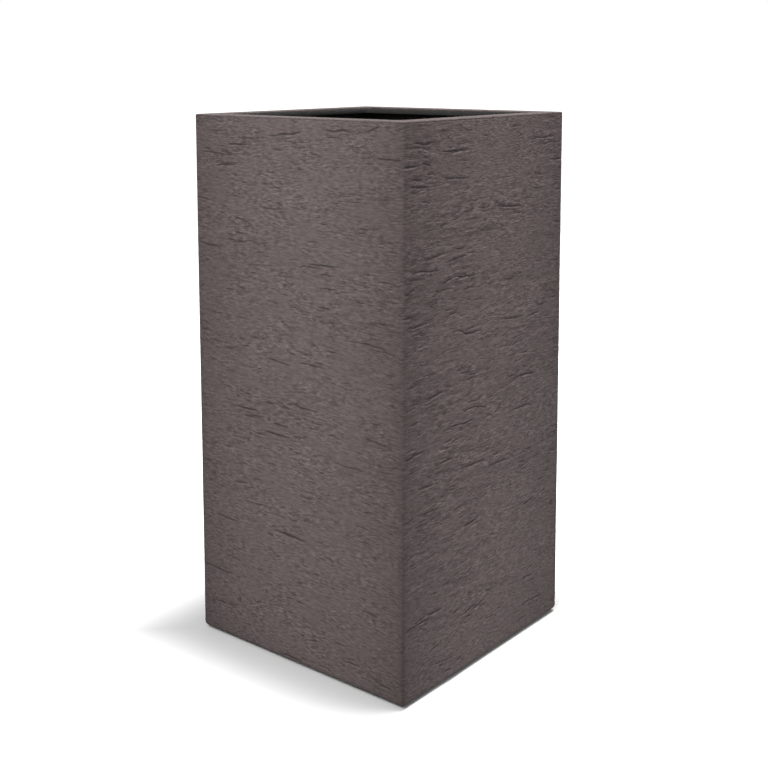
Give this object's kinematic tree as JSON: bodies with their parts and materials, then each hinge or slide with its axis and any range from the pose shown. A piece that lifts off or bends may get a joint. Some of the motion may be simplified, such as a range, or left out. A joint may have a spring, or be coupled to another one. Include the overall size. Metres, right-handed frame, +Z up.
{
  "type": "tall square planter",
  "caption": "Tall square free-standing planter with an inward flat rim and return lip, a raised drained floor on battens, rubber feet and a lift-out drain plug.",
  "frame": {"origin": "on the ground, under the middle of the planter", "axes": "+Z up out of the mouth; the front faces -Y and the left side faces -X; all sides are alike"},
  "size_m": [0.3998, 0.3998, 0.8],
  "materials": {
    "slate_laminate": "matt warm grey-brown with horizontal slate-like fissures",
    "black_laminate": "matt black paint over rough glass mat",
    "bonding_resin": "matt, brushed resin and tape",
    "batten_timber": "planed softwood",
    "pad_rubber": "matt",
    "zinc_steel": "zinc plated",
    "plug_rubber": "satin"
  },
  "bodies": {
    "root": {"planter_shell": "slate_laminate", "base_panel": "black_laminate", "bond_fillet": "bonding_resin", "batten_front": "batten_timber", "batten_back": "batten_timber", "batten_left": "batten_timber", "batten_right": "batten_timber", "foot_pad_front_left": "pad_rubber", "foot_pad_front_right": "pad_rubber", "foot_pad_back_left": "pad_rubber", "foot_pad_back_right": "pad_rubber", "foot_screws": "zinc_steel"},
    "plug": {"drain_plug": "plug_rubber"}
  },
  "joints": [
    {"name": "drain_plug_lift", "type": "slide", "parent": "root", "child": "plug", "axis": [0, 0, 1], "range_m": [0, 0.82]}
  ]
}
